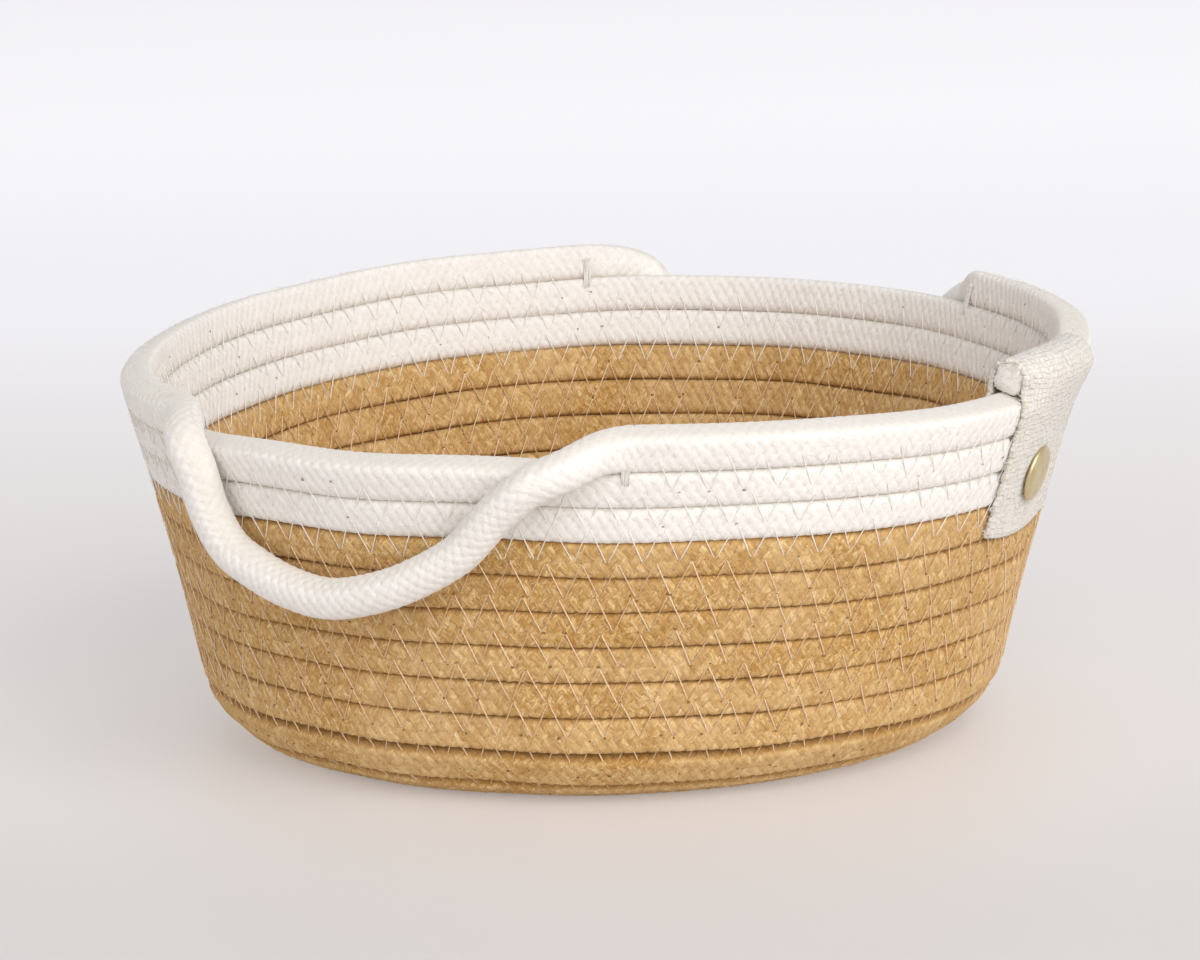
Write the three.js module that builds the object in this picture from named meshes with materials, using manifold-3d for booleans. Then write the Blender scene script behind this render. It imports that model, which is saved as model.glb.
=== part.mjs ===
// Cotton rope basket. One spiral of rope runs from the middle of the base to the rim, sewn turn to turn:
// a dyed rope for the base and the wall, then a natural one for the top three turns, whose last turn
// leaves the rim twice to make the two hanging loop handles.
// Millimetres, +Z up. The origin is the middle of the flat underside. The handles hang at -Y and +Y,
// and the folded label is riveted over the rim at +X, where both ropes end.
import * as THREE from 'three';
import Module from 'manifold-3d';
import { mergeVertices } from 'three/addons/utils/BufferGeometryUtils.js';

const wasm = await Module();
wasm.setup();

// Rope
const ropePitch = 8; // from the centre of one turn to the centre of the next
const ropeThickness = 7.4; // through the base and the wall
const turnGap = 0.6; // left open between one turn and the next
const ropeFlatShare = 0.5; // the flat faces' share of a turn's height
const startFlatShare = 0.85; // the same at the rope's pressed start, in the middle of the base
const stepsPerTurn = 24;

// Basket, along its profile from the middle of the base to the rim
const flatRadius = 70.5; // the part of the base that lies flat
const cornerRadius = 15.5; // from the base up into the wall
const footSlope = 77.4; // degrees from level, where the wall starts
const rimSlope = 72.8; // degrees from level, at the rim
const baseTurns = 9.4;
const wallTurns = 8;
const naturalTurns = 3;
const startTurns = 0.9; // the spiral proper starts here, round the curled start of the rope
const startCurl = 190; // degrees that the rope's start curls round

// Loop handles
const handleHalfSpan = 32.5; // degrees of the rim, from the handle's middle to either end
const handleLoopDepth = 35; // from the last turn's centre down along the wall
const handleRopeDiameter = 8;
const handleStandOff = 2.5; // the loop's lowest point from the wall, which leans in under it
const dropPower = 1.5; // how full the hanging loop is
const leaveShare = 0.28; // of the half span, in which the rope moves off the rim
const dropStartShare = 0.09; // of the half span, before the rope starts to fall
const handleSteps = 40;
const handleSides = 10;

// Folded label and its rivet
const labelWidth = 30;
const labelThickness = 1;
const labelLength = 33; // each flap, from the centre of the turn it folds over
const labelColumns = 6;
const labelFoldSteps = 8;
const rivetDiameter = 13;
const rivetThickness = 1.6;
const rivetEdge = 0.7; // height of the cap's rim, under its dome
const rivetRimWidth = 1.1; // flat ring round the cap's dome
const shankDiameter = 3.2;
const socketDepth = 1; // the shank's end in the back cap
const backThickness = 2;
const rivetSides = 32;

// Fits
const clearance = 0.3; // between pieces that touch
const leastTurnGap = 0.4;

// Colours, roughness
const dyedRope = new THREE.MeshStandardMaterial({ color: 0xc89b5f, roughness: 0.95, metalness: 0 });
const naturalRope = new THREE.MeshStandardMaterial({ color: 0xf2ece0, roughness: 0.95, metalness: 0 });
const wovenTape = new THREE.MeshStandardMaterial({ color: 0xe0d8cc, roughness: 0.9, metalness: 0 });
const brass = new THREE.MeshStandardMaterial({ color: 0xc8b47d, roughness: 0.3, metalness: 1 });

// Worked out
const degree = Math.PI / 180;
const circle = 360 * degree;
const halfHeight = (ropePitch - turnGap) / 2;
const halfThickness = ropeThickness / 2;
const totalTurns = baseTurns + wallTurns + naturalTurns;
const tanTurns = baseTurns + wallTurns;
const cornerEnd = flatRadius + cornerRadius * footSlope * degree;
const wallLength = totalTurns * ropePitch - cornerEnd;
const bulge = (footSlope - rimSlope) * degree / wallLength;
const handleRadius = handleRopeDiameter / 2;
const handleOffset = halfThickness + clearance + handleRadius;
const ropeCornerReach = Math.hypot(halfHeight * ropeFlatShare, halfThickness);
const labelFoldRadius = ropeCornerReach + clearance + labelThickness / 2;

// The basket's profile. distance runs along it from the middle of the base. Returns the radius, the
// height and the slope there, for the middle of the rope's thickness.
function profileAt(distance) {
  if (distance <= flatRadius) {
    return { radius: distance, height: halfThickness, slope: 0 };
  }
  if (distance <= cornerEnd) {
    const slope = (distance - flatRadius) / cornerRadius;
    return {
      radius: flatRadius + cornerRadius * Math.sin(slope),
      height: halfThickness + cornerRadius * (1 - Math.cos(slope)),
      slope,
    };
  }
  const foot = profileAt(cornerEnd);
  const slope = foot.slope - bulge * (distance - cornerEnd);
  return {
    radius: foot.radius + (Math.sin(foot.slope) - Math.sin(slope)) / bulge,
    height: foot.height + (Math.cos(slope) - Math.cos(foot.slope)) / bulge,
    slope,
  };
}

// A frame on the basket's wall: the point at an azimuth and a distance along the profile, with the
// directions round the basket, up along the wall and out of it.
function wallFrame(azimuth, distance) {
  const { radius, height, slope } = profileAt(distance);
  const radial = new THREE.Vector3(Math.cos(azimuth), Math.sin(azimuth), 0);
  const vertical = new THREE.Vector3(0, 0, 1);
  return {
    point: radial.clone().multiplyScalar(radius).addScaledVector(vertical, height),
    along: new THREE.Vector3(Math.sin(azimuth), -Math.cos(azimuth), 0),
    up: radial.clone().multiplyScalar(Math.cos(slope)).addScaledVector(vertical, Math.sin(slope)),
    out: radial.clone().multiplyScalar(Math.sin(slope)).addScaledVector(vertical, -Math.cos(slope)),
    radius,
  };
}

// The spiral climbs clockwise as seen from above, and each rope ends at the label, at azimuth 0.
function azimuthAt(turns) {
  return (baseTurns - turns) * circle;
}

// The rope's frame on the spiral, square to the way that the rope runs.
function spiralFrame(turns) {
  const wall = wallFrame(azimuthAt(turns), turns * ropePitch);
  const tilt = Math.atan2(ropePitch, circle * wall.radius);
  return {
    point: wall.point,
    up: wall.up.clone().multiplyScalar(Math.cos(tilt)).addScaledVector(wall.along, -Math.sin(tilt)),
    out: wall.out,
    flatShare: ropeFlatShare,
  };
}

// The frames of a stretch of the spiral, a step apart and in line from turn to turn.
function spiralFrames(fromTurns, toTurns) {
  const step = 1 / stepsPerTurn;
  const frames = [spiralFrame(fromTurns)];
  const first = Math.ceil((fromTurns - baseTurns) * stepsPerTurn + 1 / 2);
  const last = Math.floor((toTurns - baseTurns) * stepsPerTurn - 1 / 2);
  for (let index = first; index <= last; index += 1) {
    frames.push(spiralFrame(baseTurns + index * step));
  }
  frames.push(spiralFrame(toTurns));
  return frames;
}

// The curled start of the rope, from its pressed end to where the spiral proper takes over.
function startFrames() {
  const join = spiralFrame(startTurns);
  const curlRadius = ropePitch / 2;
  const centre = join.point.clone().addScaledVector(join.up, -curlRadius);
  const steps = Math.round(startCurl * degree / circle * stepsPerTurn);
  const frames = [];
  for (let index = steps; index >= 1; index -= 1) {
    const angle = startCurl * degree * index / steps;
    const up = join.up.clone().applyAxisAngle(join.out, -angle);
    frames.push({
      point: centre.clone().addScaledVector(up, curlRadius),
      up,
      out: join.out,
      flatShare: THREE.MathUtils.lerp(ropeFlatShare, startFlatShare, index / steps),
    });
  }
  return frames;
}

// The six corners of the rope's section on a frame, pressed flat where they would reach the ground.
function ropeSection({ point, up, out, flatShare }) {
  const flat = halfHeight * flatShare;
  const corners = [
    [halfHeight, 0],
    [flat, halfThickness],
    [-flat, halfThickness],
    [-halfHeight, 0],
    [-flat, -halfThickness],
    [flat, -halfThickness],
  ];
  return corners.map(([across, through]) => {
    const corner = point.clone().addScaledVector(up, across).addScaledVector(out, through);
    corner.z = Math.max(corner.z, 0);
    return corner;
  });
}

// A closed body through sections of equal, even numbers of points. Each end is closed in pairs of
// points, the first with the last, so a thin bent section closes as well as a round one.
function loft(sections) {
  const sides = sections[0].length;
  const positions = sections.flat().flatMap((corner) => corner.toArray());
  const triangles = [];
  for (let row = 0; row < sections.length - 1; row += 1) {
    for (let side = 0; side < sides; side += 1) {
      const a = row * sides + side;
      const b = row * sides + (side + 1) % sides;
      triangles.push(a, a + sides, b, b, a + sides, b + sides);
    }
  }
  const lastRow = (sections.length - 1) * sides;
  for (let a = 0; a < sides / 2 - 1; a += 1) {
    const c = sides - 1 - a;
    triangles.push(a, a + 1, c, a + 1, c - 1, c);
    triangles.push(lastRow + a, lastRow + c, lastRow + a + 1);
    triangles.push(lastRow + a + 1, lastRow + c, lastRow + c - 1);
  }
  const geometry = new THREE.BufferGeometry();
  geometry.setAttribute('position', new THREE.Float32BufferAttribute(positions, 3));
  geometry.setIndex(triangles);
  geometry.computeVertexNormals();
  return geometry;
}

// The least distance between a rope's surface points and those of its own stretches that lie at
// least half a turn further on.
function printLeastGap(name, sections) {
  let least = Infinity;
  const apart = stepsPerTurn / 2;
  sections.forEach((section, index) => {
    const next = sections.slice(index + apart, index + 2 * stepsPerTurn);
    for (const corner of section) {
      for (const other of next.flat()) {
        least = Math.min(least, corner.distanceTo(other));
      }
    }
  });
  const verdict = least > leastTurnGap ? 'clear' : 'too close';
  console.log(`${name}: least gap between turns ${least.toFixed(2)} mm, ${verdict}`);
}

// A closed geometry as a solid, in the frame of the whole basket.
function solidOf(geometry, matrix = new THREE.Matrix4()) {
  const bare = geometry.clone().applyMatrix4(matrix);
  bare.deleteAttribute('normal');
  bare.deleteAttribute('uv');
  const merged = mergeVertices(bare);
  return new wasm.Manifold(new wasm.Mesh({
    numProp: 3,
    vertProperties: new Float32Array(merged.attributes.position.array),
    triVerts: new Uint32Array(merged.index.array),
  }));
}

function geometryOf(solid) {
  const { vertProperties, triVerts } = solid.getMesh();
  const geometry = new THREE.BufferGeometry();
  geometry.setAttribute('position', new THREE.BufferAttribute(vertProperties, 3));
  geometry.setIndex(new THREE.BufferAttribute(triVerts, 1));
  geometry.computeVertexNormals();
  return geometry;
}

function named(name, geometry, material) {
  const mesh = new THREE.Mesh(geometry, material);
  mesh.name = name;
  return mesh;
}

// Where a handle hangs: its two ends, on the last turn of the rope.
function handleSeat(middleAzimuth) {
  const middleTurns = totalTurns - ((middleAzimuth / circle) % 1 + 1) % 1;
  const spanTurns = handleHalfSpan * degree / circle;
  return { middleTurns, fromTurns: middleTurns - spanTurns, toTurns: middleTurns + spanTurns };
}

// Part of a turn that leaves clearance round a handle's rounded end.
function endRelief(turns) {
  const { radius } = profileAt(turns * ropePitch);
  return (handleRadius + clearance) / (circle * radius);
}

// The middle of a handle's rope: off the rim, down over the turn below and in a loop on the wall.
class HandlePath extends THREE.Curve {
  constructor(seat) {
    super();
    this.seat = seat;
  }

  getPoint(share, target = new THREE.Vector3()) {
    const { fromTurns, toTurns } = this.seat;
    const turns = THREE.MathUtils.lerp(fromTurns, toTurns, share);
    const inward = 1 - Math.abs(2 * share - 1);
    const falling = Math.max(0, (inward - dropStartShare) / (1 - dropStartShare));
    const hang = Math.sin(falling * circle / 4) ** dropPower;
    const drop = handleLoopDepth * hang;
    const leave = THREE.MathUtils.smoothstep(inward, 0, leaveShare);
    const off = handleOffset * leave + handleStandOff * hang;
    const wall = wallFrame(azimuthAt(turns), turns * ropePitch - drop);
    return target.copy(wall.point).addScaledVector(wall.out, off);
  }
}

function roundSection(radius, sides) {
  const corners = [];
  for (let side = 0; side < sides; side += 1) {
    const angle = side / sides * circle;
    corners.push(new THREE.Vector2(radius * Math.cos(angle), radius * Math.sin(angle)));
  }
  return new THREE.Shape(corners);
}

function handleGeometry(seat) {
  return new THREE.ExtrudeGeometry(roundSection(handleRadius, handleSides), {
    extrudePath: new HandlePath(seat),
    steps: handleSteps,
    bevelEnabled: false,
  });
}

// Where a stretch between two steps of the faceted rope lies, as a share of the circle's radius there.
function facetShare(azimuth) {
  const step = circle / stepsPerTurn;
  const into = Math.abs(azimuth) % step;
  return Math.cos(step / 2) / Math.cos(into - step / 2);
}

// The label's fold, as sections across the tape: up the outside, over the last turn, down the inside.
function labelGeometry() {
  const foldDistance = totalTurns * ropePitch;
  const places = [{ off: labelFoldRadius, rise: -labelLength, turn: 0 }];
  for (let step = 0; step <= labelFoldSteps; step += 1) {
    const turn = step / labelFoldSteps * circle / 2;
    const off = labelFoldRadius * Math.cos(turn);
    places.push({ off, rise: labelFoldRadius * Math.sin(turn), turn });
  }
  places.push({ off: -labelFoldRadius, rise: -labelLength, turn: circle / 2 });
  const sections = places.map(({ off, rise, turn }) => {
    const outer = [];
    const inner = [];
    for (let column = 0; column <= labelColumns; column += 1) {
      const across = (column / labelColumns - 1 / 2) * labelWidth;
      const distance = foldDistance + rise;
      const azimuth = across / profileAt(distance).radius;
      const wall = wallFrame(azimuth, distance);
      const inset = wall.radius * (1 - facetShare(azimuth));
      const inward = new THREE.Vector3(-Math.cos(azimuth), -Math.sin(azimuth), 0);
      const middle = wall.point.clone().addScaledVector(wall.out, off).addScaledVector(inward, inset);
      const lift = wall.out.clone().multiplyScalar(Math.cos(turn))
        .addScaledVector(wall.up, Math.sin(turn));
      outer.push(middle.clone().addScaledVector(lift, labelThickness / 2));
      inner.unshift(middle.clone().addScaledVector(lift, -labelThickness / 2));
    }
    return [...outer, ...inner].reverse();
  });
  return loft(sections);
}

// The rivet stands in the groove under the first turn of natural rope that is whole at the label.
const rivetDistance = (tanTurns + 1 / 2) * ropePitch;
const rivetSeat = labelFoldRadius + labelThickness / 2 + clearance;
const backSeat = rivetSeat + rivetDiameter / 2 * Math.tan(circle / stepsPerTurn / 2);

function rivetPlace() {
  const wall = wallFrame(0, rivetDistance);
  const place = new THREE.Matrix4().makeBasis(wall.along.clone().negate(), wall.up, wall.out);
  return place.setPosition(wall.point);
}

// A turned shape about the wall's outward direction. Its points are [radius, height] pairs.
function turned(points) {
  const profile = points.map(([radius, height]) => new THREE.Vector2(radius, height));
  return new THREE.LatheGeometry(profile, rivetSides).rotateX(circle / 4);
}

function rivetGeometry() {
  const capRadius = rivetDiameter / 2;
  const shankRadius = shankDiameter / 2;
  const domeRadius = capRadius - rivetRimWidth;
  return turned([
    [0, -backSeat - socketDepth + clearance],
    [shankRadius, -backSeat - socketDepth + clearance],
    [shankRadius, rivetSeat],
    [capRadius, rivetSeat],
    [capRadius, rivetSeat + rivetEdge],
    [domeRadius, rivetSeat + (rivetEdge + rivetThickness) / 2],
    [domeRadius / 2, rivetSeat + rivetThickness],
    [0, rivetSeat + rivetThickness],
  ]);
}

function rivetBackGeometry() {
  const capRadius = rivetDiameter / 2;
  const socketRadius = shankDiameter / 2 + clearance;
  return turned([
    [0, -backSeat - backThickness],
    [capRadius - rivetRimWidth, -backSeat - backThickness],
    [capRadius, -backSeat - rivetEdge],
    [capRadius, -backSeat],
    [socketRadius, -backSeat],
    [socketRadius, -backSeat - socketDepth],
    [0, -backSeat - socketDepth],
  ]);
}

// A plain rod through the wall, a clearance wider than the rivet's shank.
function shankHole() {
  const reach = rivetSeat + ropePitch;
  const radius = shankDiameter / 2 + clearance;
  return solidOf(turned([[0, -reach], [radius, -reach], [radius, reach], [0, reach]]), rivetPlace());
}

function drilled(geometry) {
  return geometryOf(solidOf(geometry).subtract(shankHole()));
}

// A length of rope on the spiral, from one number of turns to another.
function ropeStretch(name, fromTurns, toTurns, material, drill = false) {
  const sections = spiralFrames(fromTurns, toTurns).map(ropeSection);
  if (toTurns - fromTurns > 1) {
    printLeastGap(name, sections);
  }
  const geometry = loft(sections);
  return named(name, drill ? drilled(geometry) : geometry, material);
}

function baseCoil(toTurns) {
  const sections = [...startFrames(), ...spiralFrames(startTurns, toTurns)].map(ropeSection);
  printLeastGap('base_coil', sections);
  return named('base_coil', loft(sections), dyedRope);
}

// Half the clearance between two ends of rope that meet, in turns.
function halfMeeting(turns) {
  const { radius } = profileAt(turns * ropePitch);
  return clearance / 2 / (circle * radius);
}

function buildBasket() {
  const basket = new THREE.Group();
  const frontHandle = handleSeat(-circle / 4);
  const backHandle = handleSeat(circle / 4);
  const baseEnd = halfMeeting(baseTurns);
  const tanEnd = halfMeeting(tanTurns);

  basket.add(baseCoil(baseTurns - baseEnd));
  basket.add(ropeStretch('wall_coil', baseTurns + baseEnd, tanTurns - tanEnd, dyedRope, true));
  const whiteEnd = frontHandle.fromTurns - endRelief(frontHandle.fromTurns);
  basket.add(ropeStretch('white_coil', tanTurns + tanEnd, whiteEnd, naturalRope, true));
  const leftStart = frontHandle.toTurns + endRelief(frontHandle.toTurns);
  const leftEnd = backHandle.fromTurns - endRelief(backHandle.fromTurns);
  basket.add(ropeStretch('rim_left', leftStart, leftEnd, naturalRope));
  const rightStart = backHandle.toTurns + endRelief(backHandle.toTurns);
  basket.add(ropeStretch('rim_right', rightStart, totalTurns, naturalRope));

  basket.add(named('front_handle', handleGeometry(frontHandle), naturalRope));
  basket.add(named('back_handle', handleGeometry(backHandle), naturalRope));

  basket.add(named('label', drilled(labelGeometry()), wovenTape));
  const rivet = named('rivet', rivetGeometry(), brass);
  const rivetBack = named('rivet_back', rivetBackGeometry(), brass);
  for (const piece of [rivet, rivetBack]) {
    piece.applyMatrix4(rivetPlace());
    basket.add(piece);
  }
  return basket;
}

const group = buildBasket();

export default group;
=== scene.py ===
"""Cotton rope basket: the looks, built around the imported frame.

Two braided ropes wound in one spiral, a zig-zag seam from turn to turn outside and inside, two loop
handles that bend from the rim, a folded tape label and its brass rivet.
Lengths are millimetres up to the meshes, which are in metres.
"""
import math
import bpy
import numpy as np
from mathutils import Matrix, Vector


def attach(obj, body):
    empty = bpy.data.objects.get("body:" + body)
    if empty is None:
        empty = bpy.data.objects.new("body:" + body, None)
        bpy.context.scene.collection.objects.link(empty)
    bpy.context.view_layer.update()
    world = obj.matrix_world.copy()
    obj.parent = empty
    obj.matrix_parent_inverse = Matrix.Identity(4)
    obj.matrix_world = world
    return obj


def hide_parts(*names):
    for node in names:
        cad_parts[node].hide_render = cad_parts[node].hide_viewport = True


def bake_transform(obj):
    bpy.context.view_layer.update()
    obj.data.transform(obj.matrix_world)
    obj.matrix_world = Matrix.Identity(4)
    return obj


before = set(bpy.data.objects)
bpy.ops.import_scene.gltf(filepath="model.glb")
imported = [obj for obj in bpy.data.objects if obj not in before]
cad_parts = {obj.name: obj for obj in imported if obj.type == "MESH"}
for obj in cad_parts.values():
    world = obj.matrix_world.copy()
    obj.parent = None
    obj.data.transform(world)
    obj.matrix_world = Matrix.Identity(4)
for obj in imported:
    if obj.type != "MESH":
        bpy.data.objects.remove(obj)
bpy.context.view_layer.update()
chance = np.random.default_rng(11)

MM = 0.001
CIRCLE = 2 * math.pi
FINE_STEPS = 4001

# The spiral and its profile, as the frame's solids have them
PITCH = 8.0
FLAT_RADIUS = 70.5
CORNER_RADIUS = 15.5
FOOT_SLOPE = math.radians(77.4)
RIM_SLOPE = math.radians(72.8)
CENTRE_HEIGHT = 3.7
BASE_TURNS = 9.4
TAN_TURNS = 17.4
TOTAL_TURNS = 20.4
START_TURNS = 0.9
START_CURL = math.radians(252)
START_FOLD = math.radians(150)
START_SPREAD = math.radians(30)
CORNER_END = FLAT_RADIUS + CORNER_RADIUS * FOOT_SLOPE
BULGE = (FOOT_SLOPE - RIM_SLOPE) / (TOTAL_TURNS * PITCH - CORNER_END)

# The rope's cut end, pushed on under the label's fold and squeezed there
ROPE_END = 14.2
ROPE_END_SQUEEZE = (3.5, 3.3)
ROPE_END_SHIFT = -1.5
ROPE_END_EASE = 6.0
DOME = np.array([(0.2, 0.98), (0.5, 0.9), (0.75, 0.7), (0.85, 0.4)]).T

# Handles
HANDLE_HALF_SPAN = math.radians(32.5)
HANDLE_DEPTH = 31.5
HANDLE_OFFSET = 8.0
HANDLE_STAND_OFF = 2.5
SPLINE_STEPS = 40
HANDLE_LINE = np.array([
    (-1, 0, 0), (-0.95, 0, 0.07), (-0.88, 0, 0.3), (-0.77, 0.05, 0.8), (-0.65, 0.15, 1), (-0.53, 0.36, 1),
    (-0.4, 0.63, 1), (-0.24, 0.81, 1), (-0.09, 0.92, 1), (0.12, 1, 1), (0.31, 0.96, 1), (0.46, 0.86, 1),
    (0.57, 0.74, 1), (0.65, 0.5, 1), (0.69, 0.22, 1), (0.74, 0.07, 0.93), (0.82, 0.01, 0.6),
    (0.91, 0, 0.19), (0.96, 0, 0.04), (1, 0, 0)])

# Rope: half its height and thickness in the coil, how square it is pressed, its braid
TAN_HALF_UP = 4.03
WHITE_HALF_UP = 4.15
ROPE_HALF_OUT = 3.8
TAN_SQUARENESS = 5.5
WHITE_SQUARENESS = 4.2
HANDLE_SQUARENESS = 2.15
HANDLE_RADIUS = 4.15
HANDLE_ROUNDING = 11.0
HANDLE_STEPS = 361
HANDLE_SIDES = 44
BRAID_PITCH = 2.4
BRAID_ROWS = 16
STRAND_WIDTH = 0.84
STRAND_CROWN = 0.62
STRAND_WEAVE = 0.3
STRAND_EDGE_DROP = 0.5
BRAID_LIFT = 0.1
BRAID_MIDDLE = 0.6
PRESSED_RELIEF_SHARE = 0.5
HIDDEN_UP = (0.9, 1.0)
TAN_RELIEF = 0.3
WHITE_RELIEF = 0.27

# The least height of rope and thread over the floor
ROPE_FLOOR = 0.02
THREAD_FLOOR = 0.01

# How far two more rings go past a handle's end, and their share of its section, to plug it into the coil
PLUG_REACH = (0.2, 1.2)
PLUG_SHARE = (0.965, 0.931225)

# Seam: a stitch's rings, how steeply it rises, how far it stands off, sinks in and bows
SEAM_START_TURNS = 1.6
SEAM_MARGIN_TURNS = 0.02
SEAM_STEPS = 6000
STITCH_PERIOD = 7.1
STITCH_REACH = 4.15
STITCH_RINGS = np.array([0, 0.03, 0.09, 0.3, 0.5, 0.7, 0.91, 0.97, 1])
STITCH_STEEPNESS = 11
STITCH_LIFT = 0.6
STITCH_SUNK = (0.36, 0.46)
STITCH_BOW = 0.07
TIP_STRAY_ALONG = 0.16
TIP_STRAY_UP = 0.18
THREAD_RADIUS = 0.13
THREAD_UNEVEN = (0.8, 1.15)
DULL_RADIUS_SHARE = 0.95
DULL_DEEPER = 0.02
BARTACK_RADIUS_SHARE = 0.8
BARTACK_STRAY = 0.15
BARTACK_HOLES = 11
BARTACK_SPAN = np.array([-7.0, 0.8])
BARTACK_WIDTH = 1.7
BARTACK_INSET = 2.0
HOLE_SIDES = 7
HOLE_WIDTHS = (0.16, 0.42)
HOLE_HEIGHTS = (0.14, 0.34)
HOLE_SHIFT = 0.2
HOLE_OUT = 0.1
HOLE_CROWN = 0.06
HOLE_DEPTH = 0.5

# Loose threads: rings, sides, range of length, curl and range of radius, then their strays and counts
CUT_END = dict(rings=5, sides=4, lengths=(0.5, 1.5), curl=0.5, radii=(0.04, 0.09))
FUZZ = dict(rings=5, sides=3, lengths=(0.7, 2.3), curl=0.3, radii=(0.028, 0.05))
FRAYED = dict(rings=6, sides=4, lengths=(0.5, 1.7), curl=0.35, radii=(0.05, 0.1))
FUZZ_OUTSIDE_SHARE = 0.62
FUZZ_HALF_BAND = 3.3
CREST_HALF_ANGLE = 0.9
CREST_REACH = 1.04
FUZZ_TURN = 0.75
FUZZ_RISE = (0.06, 0.16)
FUZZ_ARCH = 2.4
FUZZ_OFF = 0.02
CUT_END_STRAY = 0.45
CUT_END_FIBRES = 260
WALL_FIBRES = 1900
BASE_FIBRES = 900
WHITE_FIBRES = 2200
CREST_FIBRES = 500
FRAYED_ON_EDGE = 150
FRAYED_ON_END = 60
FRAYED_STRAY_BESIDE = 0.7
FRAYED_STRAY_OFF = 0.2
FRAYED_ROOT = 0.4
FRAYED_SUNK = 0.35
FRAYED_DROOP = 0.3

# Label and rivet
LABEL_WIDTH = 30.0
LABEL_LENGTH = 33.0
LABEL_THICKNESS = 1.0
LABEL_FOLD_RADIUS = 4.94
LABEL_FLAP_DISTANCE = 4.55
LABEL_LEAN = 2.6
LABEL_LEAN_START = 4.0
LABEL_SAG = 1.3
LABEL_END_BULGE = 2.0
LABEL_END_DROP = 1.0
LABEL_END_MIDDLE = -2.0
LABEL_END_HALF_WIDTH = 14.0
LABEL_END_REACH = 16.0
LABEL_SNUG = (-6.5, -0.5)
LABEL_INNER_LEAN = 0.3
LABEL_LOOSE_SHARES = (0.3, 0.5)
LABEL_EDGE_CURL = 0.12
LABEL_RIPPLE = 0.1
LABEL_RAGGED = ((0.16, 2.1, 0), (0.13, 4.7, 1), (0.12, 0.9, 2))
LABEL_HEM_SHARES = (0.44, 0.485)
LABEL_HEM_THICKER = 0.35
LABEL_END_TIP = (-0.3, 0.7)
LABEL_SIDE_TIP = (-0.25, 0.6)
TAPE_COLUMNS = 64
TAPE_ROWS = 170
INNER_FACE = 1000.0
TAPE_PITCH = 2.3
TAPE_RELIEF = 0.07
RIVET_RADIUS = 6.1
RIVET_DISTANCE = (TAN_TURNS + 0.5) * PITCH - 2.0
RIVET_AZIMUTH = -0.009
RIVET_TURN = math.radians(6)
RIVET_SHANK = 1.6
RIVET_GAP = 0.15
RIVET_SIDES = 72

# How hand sewing left the basket: oval and three-cornered shares of the radius, and millimetres of
# shift and waviness at the rim
OVAL_SHARES = (0.0005, -0.0239)
THREE_SIDED_SHARES = (0.0152, -0.0072)
RIM_SHIFT = (2.46, -0.04)
RIM_WAVES = ((-0.12, 0.68), (-0.96, -0.79), (-0.34, 0.2))
WARP_HEIGHT = 80.0
FOOT_WARP_SHARE = 0.4
WARP_MOST = 1.2


def smoothstep(value, low, high):
    share = np.clip((value - low) / (high - low), 0, 1)
    return share * share * (3 - 2 * share)


def lerp(a, b, share):
    return a + (b - a) * share


def unit(vectors):
    return vectors / np.linalg.norm(vectors, axis=-1, keepdims=True)


def running_sum(steps):
    return np.concatenate([[0], np.cumsum(steps)])


def length_along(line):
    return running_sum(np.linalg.norm(np.diff(line, axis=0), axis=1))


def ring_angles(sides):
    return np.arange(sides) / sides * CIRCLE


def harmonic(azimuth, order, amounts):
    return amounts[0] * np.cos(order * azimuth) + amounts[1] * np.sin(order * azimuth)


class Waves:
    """A smooth random field over the wall, periodic round the basket."""

    def __init__(self, amplitude, count, least, most, climb):
        self.round = chance.integers(least, most + 1, count)
        self.climb = chance.uniform(-climb, climb, count)
        self.phase = chance.uniform(0, CIRCLE, count)
        self.amplitude = amplitude * math.sqrt(2 / count)

    def __call__(self, azimuth, distance):
        angle = np.multiply.outer(azimuth, self.round) + np.multiply.outer(distance, self.climb)
        return self.amplitude * np.sin(angle + self.phase).sum(-1)


up_waves = Waves(amplitude=0.14, count=9, least=3, most=17, climb=0.12)
out_waves = Waves(amplitude=0.22, count=9, least=2, most=15, climb=0.14)


# The wall

def profile_at(distance):
    """Radius, height and slope of the middle of the rope's thickness, along the basket's profile."""
    corner = np.clip((distance - FLAT_RADIUS) / CORNER_RADIUS, 0, FOOT_SLOPE)
    above = np.maximum(distance - CORNER_END, 0)
    wall = FOOT_SLOPE - BULGE * above
    radius = np.minimum(distance, FLAT_RADIUS) + CORNER_RADIUS * np.sin(corner)
    radius = radius + (math.sin(FOOT_SLOPE) - np.sin(wall)) / BULGE
    height = CENTRE_HEIGHT + CORNER_RADIUS * (1 - np.cos(corner))
    height = height + (np.cos(wall) - math.cos(FOOT_SLOPE)) / BULGE
    return radius, height, corner - BULGE * above


RIM_LENGTH = CIRCLE * profile_at(TOTAL_TURNS * PITCH)[0]


def wall_frame(azimuth, distance):
    """Point, direction round, direction up the wall and direction out of it. All are arrays of rows."""
    azimuth, distance = np.broadcast_arrays(np.asarray(azimuth, float), np.asarray(distance, float))
    radius, height, slope = profile_at(distance)
    zero = np.zeros_like(azimuth)
    radial = np.stack([np.cos(azimuth), np.sin(azimuth), zero], -1)
    vertical = np.stack([zero, zero, zero + 1], -1)
    along = np.stack([np.sin(azimuth), -np.cos(azimuth), zero], -1)
    up = radial * np.cos(slope)[..., None] + vertical * np.sin(slope)[..., None]
    out = radial * np.sin(slope)[..., None] - vertical * np.cos(slope)[..., None]
    point = radial * radius[..., None] + vertical * height[..., None]
    sewn = smoothstep(distance, FLAT_RADIUS, CORNER_END)
    point = point + up * (sewn * up_waves(azimuth, distance))[..., None]
    point = point + out * (sewn * out_waves(azimuth, distance))[..., None]
    return point, along, up, out


def azimuth_at(turns):
    return (BASE_TURNS - turns) * CIRCLE


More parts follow.
